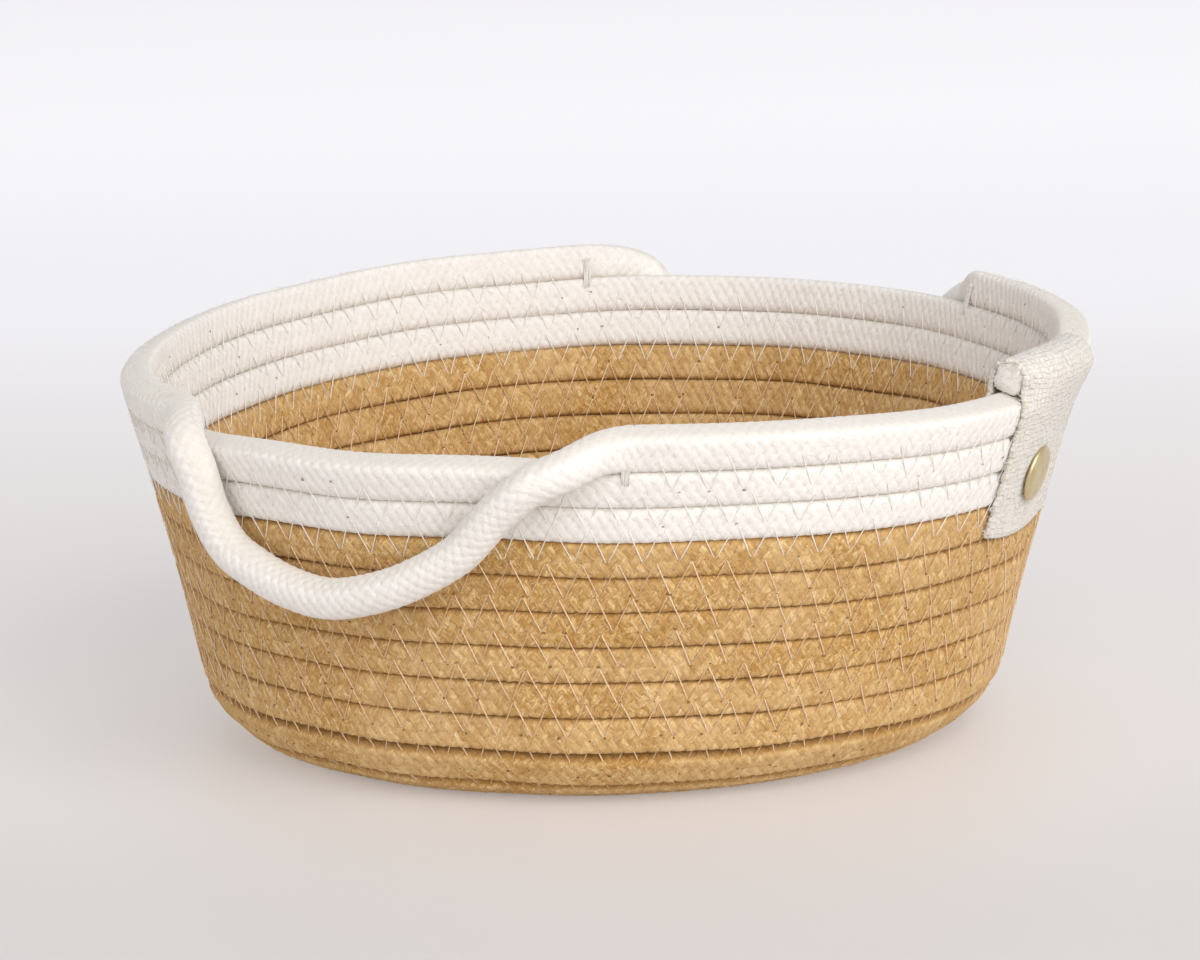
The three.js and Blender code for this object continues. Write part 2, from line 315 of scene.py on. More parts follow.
def hand_sewn(points, least_height=-math.inf):
    """Millimetre points with the unevenness of the real basket."""
    x, y, z = np.moveaxis(points, -1, 0)
    azimuth = np.arctan2(y, x)
    share = np.clip(z / WARP_HEIGHT, 0, WARP_MOST)
    wider = harmonic(azimuth, 2, OVAL_SHARES) + harmonic(azimuth, 3, THREE_SIDED_SHARES)
    scale = 1 + lerp(FOOT_WARP_SHARE, 1, share) * wider
    lift = sum(harmonic(azimuth, order, wave) for order, wave in enumerate(RIM_WAVES, 1))
    x, y = x * scale + RIM_SHIFT[0] * share, y * scale + RIM_SHIFT[1] * share
    return np.stack([x, y, np.maximum(z + lift * share, least_height)], -1)


# Meshes

def link_object(name, data):
    new_object = bpy.data.objects.new(name, data)
    bpy.context.scene.collection.objects.link(new_object)
    return new_object


def add_object(name, points, face_groups, uvs=None, material=None, smooth=True):
    """A mesh object. points are hand-sewn millimetres, each of face_groups has faces of one kind, and
    uvs has a pair for each face corner."""
    mesh = bpy.data.meshes.new(name)
    points = np.asarray(points, np.float32).reshape(-1, 3)
    corners = np.concatenate([faces.ravel() for faces in face_groups])
    sizes = np.concatenate([np.full(len(faces), faces.shape[1]) for faces in face_groups])
    mesh.vertices.add(len(points))
    mesh.vertices.foreach_set("co", (points * MM).astype(np.float32).ravel())
    mesh.loops.add(len(corners))
    mesh.loops.foreach_set("vertex_index", corners.astype(np.int32))
    mesh.polygons.add(len(sizes))
    mesh.polygons.foreach_set("loop_start", (np.cumsum(sizes) - sizes).astype(np.int32))
    if uvs is not None:
        layer = mesh.uv_layers.new(name="lay")
        layer.data.foreach_set("uv", np.asarray(uvs, np.float32).ravel())
    mesh.update(calc_edges=True)
    mesh.validate()
    mesh.shade_smooth() if smooth else mesh.shade_flat()
    piece = link_object(name, mesh)
    if material is not None:
        mesh.materials.append(material)
    return piece


def on_basket(piece, slot_name, *nodes):
    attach(piece, "basket")
    if nodes:
        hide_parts(*nodes)


def tube_faces(rows, sides):
    """Quads of one tube whose points run ring by ring."""
    row, side = np.meshgrid(np.arange(rows - 1), np.arange(sides), indexing="ij")
    a = row * sides + side
    b = row * sides + (side + 1) % sides
    return np.stack([a, b, b + sides, a + sides], -1).reshape(-1, 4)


def tube_uvs(along, around):
    """Corner pairs to go with tube_faces, from one value for each ring or for each point of each ring.
    around has one value more than the tube has sides."""
    sides = around.shape[-1] - 1
    rows = len(along)
    along = np.broadcast_to(along if along.ndim == 2 else along[:, None], (rows, sides + 1))
    around = np.broadcast_to(around, (rows, sides + 1))
    row, side = np.meshgrid(np.arange(rows - 1), np.arange(sides), indexing="ij")
    corners = [(row, side), (row, side + 1), (row + 1, side + 1), (row + 1, side)]
    return np.stack([np.stack([along[at], around[at]], -1) for at in corners], 2).reshape(-1, 2)


def end_fans(near, far, near_middle, far_middle, sides):
    """Triangles to two middle points from the rings of a tube that start at the points near and far."""
    side = np.arange(sides)
    after = (side + 1) % sides
    return np.vstack([np.stack([near + after, near + side, np.full(sides, near_middle)], -1),
                      np.stack([far + side, far + after, np.full(sides, far_middle)], -1)])


def with_ends(points, uvs, rows, sides):
    """A tube's points, faces and uvs with flat fans on its ends that don't share the tube's shading."""
    count = rows * sides
    first, last = points[:sides], points[count - sides:]
    points = np.vstack([points, first, last, first.mean(0), last.mean(0)])
    caps = end_fans(count, count + sides, count + 2 * sides, count + 2 * sides + 1, sides)
    return points, [tube_faces(rows, sides), caps], np.vstack([uvs, np.tile(uvs[:1], (caps.size, 1))])


# Braided rope

def strand_height(across, lengthwise, own):
    """Height of the strands that run one way: round on top, over the others and under them in turn."""
    number = np.floor(across)
    off_middle = (across - number - 0.5) * 2 / STRAND_WIDTH
    crown = np.sqrt(np.clip(1 - off_middle ** 2, 0, 1))
    weave = np.cos(math.pi * (lengthwise - 0.5 - number + own))
    beside = np.abs(off_middle) > 1
    return STRAND_CROWN * crown + STRAND_WEAVE * weave - STRAND_EDGE_DROP * beside


def braid_height(along, around):
    """Height of a plain braid, 0 to 1. along is in braid pitches, around in rows."""
    rising, falling = along + around / 2, along - around / 2
    height = np.maximum(strand_height(rising, falling, 0), strand_height(falling, rising, 1))
    return np.clip(height + BRAID_LIFT, 0, 1)


def section(sides, squareness, hidden_thin):
    """A superellipse from straight out round towards up: its unit points and normals, and the points'
    share of the way round. hidden_thin spreads out those that press on the neighbouring turns."""
    fine = np.linspace(0, CIRCLE, FINE_STEPS)
    out, up = (np.sign(unit_side) * np.abs(unit_side) ** (2 / squareness)
               for unit_side in (np.cos(fine), np.sin(fine)))
    steps = np.hypot(np.diff(out), np.diff(up))
    length = running_sum(steps)
    middle_up = np.abs((up[1:] + up[:-1]) / 2)
    weight = steps * (1 - hidden_thin * smoothstep(middle_up, *HIDDEN_UP))
    spread = running_sum(weight)
    wanted = np.linspace(0, spread[-1], sides + 1)
    points = np.stack([np.interp(wanted, spread, side)[:-1] for side in (out, up)])
    normals = np.sign(points) * np.abs(points) ** (squareness - 1)
    return (*points, *normals / np.hypot(*normals)), np.interp(wanted, spread, length / length[-1])


def uneven(along, around):
    """How far hand-fed braid strays from its pattern: along in pitches, around in rows."""
    wave = np.sin(along / 2.9 + 1) + np.sin(along / 1.31 + around * CIRCLE / BRAID_ROWS + 2)
    turn = np.sin(along / 7.3 + 3) + 0.5 * np.sin(along / 2.3 + 5)
    return 0.11 * wave, 0.07 * turn + 0.06 * np.sin(along * 1.7 + 2 * around * CIRCLE / BRAID_ROWS)


def rope(name, point, up, out, along, sides, relief, material, squareness, half_up,
         half_out=ROPE_HALF_OUT, hidden_thin=0.6, rounding=0, ground=False):
    """A braided rope along rings with given middles and directions. along is millimetres of rope, and
    rounding is how far each ring has gone from the pressed section to a handle's round one."""
    rows = len(point)
    half_up, half_out, rounding = (
        np.broadcast_to(value, rows)[:, None] for value in (half_up, half_out, rounding))
    pressed, around = section(sides, squareness, hidden_thin)
    round_one = section(sides, HANDLE_SQUARENESS, 0)[0]
    share_out, share_up, normal_out, normal_up = (
        lerp(a, b, rounding) for a, b in zip(pressed, round_one))
    free = lerp(lerp(PRESSED_RELIEF_SHARE, 1, np.abs(pressed[2])), 1, rounding)
    lay, rows_round = (along / BRAID_PITCH)[:, None], around[None] * BRAID_ROWS
    slip, twist = uneven(lay, rows_round)
    lay, rows_round = lay + slip, rows_round + twist
    rise = relief * (braid_height(lay[:, :-1], rows_round[:, :-1]) - BRAID_MIDDLE) * free
    local_out = half_out * share_out + rise * normal_out
    local_up = half_up * share_up + rise * normal_up
    points = point[:, None] + out[:, None] * local_out[..., None] + up[:, None] * local_up[..., None]
    points = hand_sewn(points, ROPE_FLOOR if ground else -math.inf).reshape(-1, 3)
    return add_object(name, *with_ends(points, tube_uvs(lay, rows_round), rows, sides), material)


def spiral_frame(turns):
    """Rings square to the rope on the spiral, and the millimetres of rope up to each."""
    azimuth, distance = azimuth_at(turns), turns * PITCH
    point, along, up, out = wall_frame(azimuth, distance)
    radius = profile_at(distance)[0]
    tilt = np.arctan2(PITCH, CIRCLE * radius)[:, None]
    return point, up * np.cos(tilt) - along * np.sin(tilt), out


def rope_length(turns):
    """Millimetres of rope from the middle of the base to a number of turns."""
    fine = np.linspace(0, TOTAL_TURNS, FINE_STEPS)
    radius = profile_at(fine * PITCH)[0]
    steps = np.hypot(CIRCLE * (radius[1:] + radius[:-1]) / 2, PITCH) * np.diff(fine)
    return np.interp(turns, fine, running_sum(steps))


def even_turns(from_turns, to_turns, step):
    """Numbers of turns that are about step millimetres of rope apart."""
    return np.linspace(from_turns, to_turns, int((rope_length(to_turns) - rope_length(from_turns)) / step))


def coil(name, from_turns, to_turns, step, sides, look, ground=False):
    """A stretch of rope on the spiral. look is its relief, material, squareness and half its height."""
    turns = even_turns(from_turns, to_turns, step)
    point, up, out = spiral_frame(turns)
    return rope(name, point, up, out, rope_length(turns), sides, *look, ground=ground)


def rope_end(name, from_turns, step, sides):
    """The last stretch of the rim, to the rope's cut end under the label."""
    past = np.concatenate([np.linspace(0, ROPE_END, int(ROPE_END / step))[1:], ROPE_END + DOME[0]])
    turns = np.concatenate([even_turns(from_turns, TOTAL_TURNS, step), TOTAL_TURNS + past / RIM_LENGTH])
    squeezed = smoothstep((turns - TOTAL_TURNS) * RIM_LENGTH, -ROPE_END_EASE, ROPE_END)
    dome = np.concatenate([np.ones(len(turns) - len(DOME[1])), DOME[1]])
    half_up = lerp(WHITE_HALF_UP, ROPE_END_SQUEEZE[0], squeezed) * dome
    half_out = lerp(ROPE_HALF_OUT, ROPE_END_SQUEEZE[1], squeezed) * dome
    point, up, out = spiral_frame(turns)
    point = point + out * (ROPE_END_SHIFT * squeezed)[:, None]
    along = rope_length(from_turns) + (turns - from_turns) * RIM_LENGTH
    return rope(name, point, up, out, along, sides, WHITE_RELIEF, white_cotton, WHITE_SQUARENESS,
                half_up, half_out)


def cut_end_fibres(name, count, material):
    """The frayed fibres of the rope's cut end."""
    turns = np.full(count, TOTAL_TURNS + ROPE_END / RIM_LENGTH)
    point, along, up, out = wall_frame(azimuth_at(turns), turns * PITCH)
    angle = chance.uniform(0, CIRCLE, (count, 1))
    reach = np.sqrt(chance.uniform(0, 1, (count, 1)))
    root = point + out * (ROPE_END_SHIFT + ROPE_END_SQUEEZE[1] * reach * np.cos(angle))
    root = root + up * (ROPE_END_SQUEEZE[0] * reach * np.sin(angle))
    heading = along + chance.normal(0, CUT_END_STRAY, (count, 3))
    on_basket(loose_threads(name, root, heading, up, material, **CUT_END), "natural_rope")


def base_start(name, to_turns, step, sides):
    """The first turns of the base with the rope's curled, pressed start."""
    join_point, join_up, join_out = (rows[0] for rows in spiral_frame(np.array([START_TURNS])))
    curl_radius = PITCH / 2
    centre = join_point - join_up * curl_radius
    curl = START_CURL * curl_radius
    angles = np.linspace(START_CURL, 0, int(curl / step))[:-1]
    forward = np.cross(join_up, join_out)
    curl_up = join_up * np.cos(angles)[:, None] + forward * np.sin(angles)[:, None]
    reach = np.linspace(0.2, 3 * curl_radius, 300)
    x, y = (centre[axis] + curl_up[:, axis, None] * reach for axis in (0, 1))
    behind = (BASE_TURNS - np.arctan2(y, x) / CIRCLE - START_TURNS) % 1 + START_TURNS
    least = np.where(angles < START_FOLD, curl_radius + TAN_HALF_UP, 0)[:, None]
    past = (np.hypot(x, y) > behind * PITCH - TAN_HALF_UP) & (reach > least)
    spread = (reach[np.argmax(past, 1)] - curl_radius - TAN_HALF_UP) / 2
    spread = spread * smoothstep(angles, START_SPREAD / 3, START_SPREAD)
    curl_point = centre + curl_up * (curl_radius + spread)[:, None]
    turns = even_turns(START_TURNS, to_turns, step)
    point, up, out = spiral_frame(turns)
    along = np.concatenate([rope_length(START_TURNS) - angles * curl_radius, rope_length(turns)])
    point = np.vstack([curl_point, point])
    up = np.vstack([curl_up, up])
    out = np.vstack([np.tile(join_out, (len(angles), 1)), out])
    half_up = TAN_HALF_UP + np.concatenate([spread, np.zeros(len(turns))])
    return rope(name, point, up, out, along, sides, TAN_RELIEF, tan_cotton, TAN_SQUARENESS, half_up,
                ground=True)


# Handles

def handle_seat(middle_azimuth):
    middle = TOTAL_TURNS - (middle_azimuth / CIRCLE) % 1
    span = HANDLE_HALF_SPAN / CIRCLE
    return middle - span, middle + span


def smooth_line(points, steps):
    """A centripetal spline through the points, at even steps of its length."""
    points = np.vstack([2 * points[0] - points[1], points, 2 * points[-1] - points[-2]])
    share = np.linspace(0, 1, SPLINE_STEPS, endpoint=False)[:, None]
    parts = []
    for a, b, c, d in zip(points, points[1:], points[2:], points[3:]):
        near, middle, far = (np.sqrt(np.linalg.norm(v)) for v in (b - a, c - b, d - c))
        leave = ((b - a) / near - (c - a) / (near + middle) + (c - b) / middle) * middle
        arrive = ((c - b) / middle - (d - b) / (middle + far) + (d - c) / far) * middle
        parts.append(b + leave * share + (3 * (c - b) - 2 * leave - arrive) * share ** 2
                     + (2 * (b - c) + leave + arrive) * share ** 3)
    line = np.vstack(parts + [points[-2]])
    length = length_along(line)
    even = np.linspace(0, length[-1], steps)
    return np.stack([np.interp(even, length, line[:, axis]) for axis in range(3)], -1), even


def handle_line(seat, mirrored, steps):
    """Middle of the handle's rope, from the end that the spiral reaches first, and its direction out."""
    across, fallen, left = (HANDLE_LINE[::-1] * (-1, 1, 1) if mirrored else HANDLE_LINE).T
    turns = lerp(seat[0], seat[1], (across + 1) / 2)
    point, _, _, out = wall_frame(azimuth_at(turns), turns * PITCH - HANDLE_DEPTH * fallen)
    point = point + out * (HANDLE_OFFSET * left + HANDLE_STAND_OFF * fallen)[:, None]
    line, length = smooth_line(point, steps)
    radial = line * (1, 1, 0) / np.hypot(line[:, :1], line[:, 1:2])
    return line, length, radial * math.sin(RIM_SLOPE) - np.array([0, 0, math.cos(RIM_SLOPE)])


def handle_half(name, seat, mirrored, half):
    """Half a loop handle. It bends from the rim, where the rope is sewn, to the hanging loop."""
    point, length, out = handle_line(seat, mirrored, HANDLE_STEPS)
    tangent = unit(np.gradient(point, axis=0))
    out = unit(out - tangent * (out * tangent).sum(1, keepdims=True))
    up = np.cross(tangent, out)
    rounding = smoothstep(np.minimum(length, length[-1] - length), 0, HANDLE_ROUNDING)
    seated = rope_length(seat[1]) - rope_length(seat[0])
    pitches = np.round((length[-1] - seated) / BRAID_PITCH)
    along = rope_length(seat[0]) + length * (seated + pitches * BRAID_PITCH) / length[-1]
    last = HANDLE_STEPS - 1
    half_steps = last // 2 + 1
    rows = np.append(np.arange(last // 2, HANDLE_STEPS), [last, last])
    past = np.append(np.zeros(half_steps), PLUG_REACH)
    narrow = np.append(np.ones(half_steps), PLUG_SHARE)
    if half == 0:
        rows, past, narrow = last - rows[::-1], -past[::-1], narrow[::-1]
    half_up, half_out = (
        lerp(coiled, HANDLE_RADIUS, rounding[rows]) * narrow for coiled in (WHITE_HALF_UP, ROPE_HALF_OUT))
    piece = rope(name, point[rows] + tangent[rows] * past[:, None], up[rows], out[rows], along[rows],
                 HANDLE_SIDES, WHITE_RELIEF, white_cotton, WHITE_SQUARENESS, half_up, half_out, 0,
                 rounding[rows])
    line = hand_sewn(point if half == 0 else point[::-1])
    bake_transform(piece)
    return piece


# Seam

def thin_tubes(name, run, side, lift, thick, sides, material):
    """Many thin tubes as one mesh. run has a row of middles for each tube, and side and lift are square
    to it."""
    count, rings = run.shape[:2]
    angle = ring_angles(sides)[None, :, None]
    ring = side[:, None] * np.cos(angle) + lift[:, None] * np.sin(angle)
    points = hand_sewn(run[:, :, None] + ring[:, None] * thick, THREAD_FLOOR)
    block = rings * sides
    ends = np.stack([np.arange(sides)[::-1], np.arange(sides) + block - sides])
    first = np.arange(count)[:, None, None] * block
    groups = [(faces + first).reshape(-1, faces.shape[1]) for faces in (tube_faces(rings, sides), ends)]
    uvs = tube_uvs(np.linspace(0, 1, rings), np.linspace(0, 1, sides + 1))
    uvs = np.tile(uvs[None], (count, 1, 1))
    uvs[..., 0] *= np.linalg.norm(run[:, -1] - run[:, 0], axis=1)[:, None]
    uvs = np.vstack([uvs.reshape(-1, 2), np.zeros((groups[1].size, 2))])
    return add_object(name, points, groups, uvs, material)


def stitch_tubes(name, start, end, lift, radius, material, deeper=0.0):
    """Straight stitches as thin tubes, each from a needle hole to the next. lift is the direction in
    which a stitch stands off the rope."""
    count = len(start)
    share = STITCH_RINGS[None, :, None]
    raised = np.clip(np.minimum(share, 1 - share) * STITCH_STEEPNESS, 0, 1)
    sunk = chance.uniform(*STITCH_SUNK, (count, 1, 1)) + deeper
    bow = chance.normal(0, STITCH_BOW, (count, 1, 1)) * np.sin(share * math.pi)
    side = unit(np.cross(unit(end - start), lift))
    run = start[:, None] + (end - start)[:, None] * share
    run = run + lift[:, None] * (raised * STITCH_LIFT - sunk) + side[:, None] * bow
    thick = radius * chance.uniform(*THREAD_UNEVEN, (count, 1, 1, 1))
    return thin_tubes(name, run, side, lift, thick, 4, material)


# Cotton fuzz

def loose_threads(name, root, heading, lift, material, rings, sides, lengths, curl, radii, rise=None):
    """Thin curled threads from their roots along their headings. rise is their way along lift."""
    count = len(root)
    heading = unit(heading)
    side = unit(np.cross(heading, lift))
    share = np.linspace(0, 1, rings)[None, :, None]
    length = chance.uniform(*lengths, (count, 1, 1))
    bend = chance.normal(0, curl, (count, 1, 1)) * length
    run = root[:, None] + heading[:, None] * length * share + side[:, None] * bend * share ** 2
    if rise is not None:
        run = run + lift[:, None] * rise(share)
    thick = chance.uniform(*radii, (count, 1, 1, 1))
    return thin_tubes(name, run, side, np.cross(side, heading), thick, sides, material)


def fuzz(name, root, normal, along, material, slot_name):
    """Short loose fibres that lie on the rope and curl off it."""
    count = len(root)
    turn = chance.normal(0, FUZZ_TURN, (count, 1)) + np.where(chance.random((count, 1)) < 0.5, 0, math.pi)
    heading = along * np.cos(turn) + np.cross(normal, along) * np.sin(turn)

    def rise(share):
        height = np.abs(chance.normal(*FUZZ_RISE, (count, 1, 1)))
        return height * np.sin(share * FUZZ_ARCH) + FUZZ_OFF

    on_basket(loose_threads(name, root, heading, normal, material, **FUZZ, rise=rise), slot_name)


def coil_fuzz(name, count, from_turns, to_turns, half_out, material, slot_name):
    """Fuzz on both faces of the coil, between two numbers of turns."""
    turns = chance.uniform(from_turns, to_turns, count)
    distance = turns * PITCH + chance.uniform(-FUZZ_HALF_BAND, FUZZ_HALF_BAND, count)
    point, along, _, out = wall_frame(azimuth_at(turns), distance)
    normal = out * np.where(chance.random((count, 1)) < FUZZ_OUTSIDE_SHARE, 1, -1)
    fuzz(name, point + normal * half_out, normal, along, material, slot_name)


def crest_fuzz(name, count, from_turns, to_turns, material):
    """Fuzz along the top of the rim."""
    turns = chance.uniform(from_turns, to_turns, count)
    point, along, up, out = wall_frame(azimuth_at(turns), turns * PITCH)
    angle = chance.uniform(-CREST_HALF_ANGLE, CREST_HALF_ANGLE, (count, 1))
    normal = up * np.cos(angle) + out * np.sin(angle)
    reach = up * (WHITE_HALF_UP * np.cos(angle)) + out * (ROPE_HALF_OUT * np.sin(angle))
    fuzz(name, point + reach * CREST_REACH, normal, along, material, "natural_rope")


def seam_runs(front, back):
    """The numbers of turns between which one turn is sewn to the turn below: tan, then natural rope."""
    white = [(TAN_TURNS, front[0]), (front[1], back[0]), (back[1], TOTAL_TURNS)]
    return [(SEAM_START_TURNS, TAN_TURNS)], white


def seam_tips(runs):
    """Upper and lower tips of the zig-zag along the seam, as numbers of turns and distances."""
    tips = []
    for from_turns, to_turns in runs:
        first, last = rope_length(from_turns), rope_length(to_turns)
        count = int((last - first) / (STITCH_PERIOD / 2))
        length = first + np.arange(count) * STITCH_PERIOD / 2 + chance.normal(0, TIP_STRAY_ALONG, count)
        fine = np.linspace(from_turns - SEAM_MARGIN_TURNS, to_turns + SEAM_MARGIN_TURNS, SEAM_STEPS)
        turns = np.interp(length, rope_length(fine), fine)
        high = np.arange(count) % 2 == 0
        reach = np.where(high, STITCH_REACH, -STITCH_REACH) + chance.normal(0, TIP_STRAY_UP, count)
        tips.append((turns, turns * PITCH - PITCH / 2 + reach))
    return tips


def seam(name, side, runs, bright, shaded, holes, hole_share, sunk=0.0):
    """The zig-zag seam on one side of the wall: 1 is outside and under the base, -1 inside. The strokes
    that lean one way lie deeper than the others, and their thread is a darker copy: painted shade."""
    strokes, leans, marks = [], [], []
    for turns, distance in seam_tips(runs):
        point, _, up, out = wall_frame(azimuth_at(turns), distance)
        surface = point + out * (side * ROPE_HALF_OUT)
        strokes.append(np.hstack([surface[:-1], surface[1:], unit(out[:-1] + out[1:]) * side]))
        leans.append(np.arange(len(turns) - 1) % 2 == 1)
        marks.append(np.hstack([surface, out * side, up]))
    strokes, leans, marks = np.vstack(strokes), np.concatenate(leans), np.vstack(marks)
    for part, chosen, radius, deeper, material in (
            ("bright", leans, THREAD_RADIUS, 0.0, bright),
            # These strokes take a darker copy of the thread: painted shade
            ("shaded", ~leans, THREAD_RADIUS * DULL_RADIUS_SHARE, DULL_DEEPER, shaded)):
        start, end, lift = np.hsplit(strokes[chosen], 3)
        piece = stitch_tubes(f"{name}_{part}", start, end, lift, radius, material, deeper + sunk)
        on_basket(piece, "thread")
    marks = marks[chance.random(len(marks)) < hole_share]
    needle_marks(name + "_holes", *np.hsplit(marks, 3), holes)


def needle_marks(name, point, out, up, material):
    """Where the needle went in, flat lenses let into the rope, dark with painted shade of the holes."""
    count, sides = len(point), HOLE_SIDES
    side = np.cross(up, out)
    angle = ring_angles(sides)[None, :, None]
    wide = chance.uniform(*HOLE_WIDTHS, (count, 1, 1))
    tall = chance.uniform(*HOLE_HEIGHTS, (count, 1, 1))
    middle = point + out * HOLE_OUT + up * chance.normal(0, HOLE_SHIFT, (count, 1))
    middle = (middle + side * chance.normal(0, HOLE_SHIFT, (count, 1)))[:, None]
    side, up, out = side[:, None], up[:, None], out[:, None]
    ring = middle + side * np.cos(angle) * wide + up * np.sin(angle) * tall
    points = np.concatenate([ring, middle + out * HOLE_CROWN, middle - out * HOLE_DEPTH], 1)
    first = (np.arange(count) * (sides + 2))[:, None, None]
    faces = (end_fans(0, 0, sides + 1, sides, sides) + first).reshape(-1, 3)
    on_basket(add_object(name, hand_sewn(points, THREAD_FLOOR), [faces], None, material), "thread")


def bartack(name, turns, side, material):
    """A short dense bar of stitches over the last turn at a handle's end."""
    lean = np.linspace(-0.5, 0.5, BARTACK_HOLES) * BARTACK_WIDTH
    azimuth = azimuth_at(turns) - lean / profile_at(turns * PITCH)[0]
    low, high = turns * PITCH + BARTACK_SPAN
    distance = np.where(np.arange(BARTACK_HOLES) % 2 == 0, high, low)
    distance = distance + chance.normal(0, BARTACK_STRAY, BARTACK_HOLES)
    point, _, _, out = wall_frame(azimuth, distance)
    surface = point + out * (side * ROPE_HALF_OUT)
    radius = THREAD_RADIUS * BARTACK_RADIUS_SHARE
    on_basket(stitch_tubes(name, surface[:-1], surface[1:], out[1:] * side, radius, material), "thread")


# Label and rivet

def label_grid(columns, rows):
    """Points of the tape's middle, across it and from the outer flap's end over the fold to the inner
    flap's end, with its direction out and the millimetres of tape."""
    fold = CIRCLE / 2 * LABEL_FOLD_RADIUS
    along = np.linspace(0, 2 * LABEL_LENGTH + fold, rows)
    turn = np.clip((along - LABEL_LENGTH) / LABEL_FOLD_RADIUS, 0, CIRCLE / 2)
    flap = np.minimum(along, LABEL_LENGTH) - LABEL_LENGTH
    flap = flap - np.maximum(along - LABEL_LENGTH - fold, 0)
    rise = flap + LABEL_FOLD_RADIUS * np.sin(turn)
    across = np.linspace(-0.5, 0.5, columns) * LABEL_WIDTH
    along_grid, across_grid = np.meshgrid(along, across, indexing="ij")
    from_middle = (across_grid - LABEL_END_MIDDLE) / LABEL_END_HALF_WIDTH
    longer = LABEL_END_BULGE * np.clip(1 - from_middle ** 2, 0, 1) + LABEL_END_DROP
    rim = TOTAL_TURNS * PITCH
    distance = rim + rise[:, None] - longer * (1 - smoothstep(along_grid, 0, LABEL_END_REACH))
    radius = profile_at(distance)[0]
    point, round_it, up, out = wall_frame(across_grid / radius, distance)
    above = smoothstep(distance, rim + LABEL_SNUG[0], rim + LABEL_SNUG[1])
    snug = lerp(LABEL_FLAP_DISTANCE / LABEL_FOLD_RADIUS, 1, above)
    off = LABEL_FOLD_RADIUS * np.cos(turn)[:, None] * snug
    lean = smoothstep(-across_grid, LABEL_LEAN_START, LABEL_WIDTH / 2) * above
    leaning = lerp(LABEL_INNER_LEAN, 1, smoothstep(off, -LABEL_FOLD_RADIUS, LABEL_FOLD_RADIUS))
    off = off - lean * LABEL_LEAN * leaning
    point = point - up * (lean * LABEL_SAG * np.sin(turn)[:, None])[..., None]
    normal = out * np.cos(turn)[:, None, None] + up * np.sin(turn)[:, None, None]
    loose = smoothstep(np.abs(across_grid) / LABEL_WIDTH, *LABEL_LOOSE_SHARES)
    curl = LABEL_EDGE_CURL * np.sin(along_grid / 5 + 1) * loose
    curl = curl + LABEL_RIPPLE * np.sin(along_grid / 3.1) * np.cos(across_grid / 4)
    point = point + out * off[..., None] + normal * curl[..., None]
    return point, normal, along_grid, across_grid, round_it


def label(material):
    """The folded tape: a closed sheet with thick, slightly uneven edges."""
    middle, normal, along, across, round_it = label_grid(TAPE_COLUMNS, TAPE_ROWS)
    edge = smoothstep(np.abs(across) / LABEL_WIDTH, *LABEL_HEM_SHARES)
    ragged = sum(amount * np.sin(along * rate + shift) for amount, rate, shift in LABEL_RAGGED)
    spread = np.sign(across) * ragged * edge
    middle = middle - round_it * spread[..., None]
    weave = np.sin(along * CIRCLE / TAPE_PITCH) * np.sin(across * CIRCLE / TAPE_PITCH)
    hem = edge * (1 + 0.5 * np.sin(along * 2.6 + 1.2 * np.sin(along)))
    thick = LABEL_THICKNESS / 2 * (1 + LABEL_HEM_THICKER * hem) + TAPE_RELIEF * weave
    tip = smoothstep(np.minimum(along, along.max() - along), *LABEL_END_TIP)
    side_tip = smoothstep(LABEL_WIDTH / 2 - np.abs(across), *LABEL_SIDE_TIP)
    thick = thick * np.sqrt(tip * side_tip)
    thick = normal * thick[..., None]
    ring = np.concatenate([middle + thick, (middle - thick)[:, ::-1]], 1)
    sides = ring.shape[1]
    around = np.concatenate([across[0], across[0][::-1] + INNER_FACE, across[0][:1] + INNER_FACE])
    uvs = tube_uvs(along[:, 0], around).reshape(-1, 4, 2)[:, ::-1].reshape(-1, 2)
    column = np.arange(TAPE_COLUMNS - 1)
    cap = np.stack([column, column + 1, sides - 2 - column, sides - 1 - column], -1)
    far_cap = (cap + (TAPE_ROWS - 1) * sides)[:, ::-1]
    cap_across = np.repeat(across[0][:-1], 4)
    cap_uvs = [np.stack([np.full(len(cap_across), end), cap_across], -1) for end in along[[0, -1], 0]]
    faces = [tube_faces(TAPE_ROWS, sides)[:, ::-1], cap, far_cap]
    piece = add_object("label_tape", hand_sewn(ring), faces, np.vstack([uvs, *cap_uvs]), material)
    on_basket(piece, "woven_tape", "label")
    frayed_ends(middle + thick, normal, round_it, material)


def frayed_ends(surface, normal, round_it, material):
    """Loose threads of the tape along its left edge and its outer end."""
    rows, columns = surface.shape[:2]
    edge_rows = chance.integers(2, rows - 3, FRAYED_ON_EDGE)
    end_columns = chance.integers(1, columns - 2, FRAYED_ON_END)
    root = np.vstack([surface[edge_rows, 0], surface[1, end_columns]])
    lift = np.vstack([normal[edge_rows, 0], normal[1, end_columns]])
    away = np.vstack([round_it[edge_rows, 0], unit(surface[1] - surface[4])[end_columns]])
    count = len(root)
    beside = np.cross(lift, away) * chance.normal(0, FRAYED_STRAY_BESIDE, (count, 1))
    heading = unit(away + beside + lift * chance.normal(0, FRAYED_STRAY_OFF, (count, 1)))
    root = root - heading * FRAYED_ROOT
    piece = loose_threads("label_threads", root, heading, lift, material, **FRAYED,
                          rise=lambda share: -FRAYED_SUNK - FRAYED_DROOP * share)
    on_basket(piece, "woven_tape")


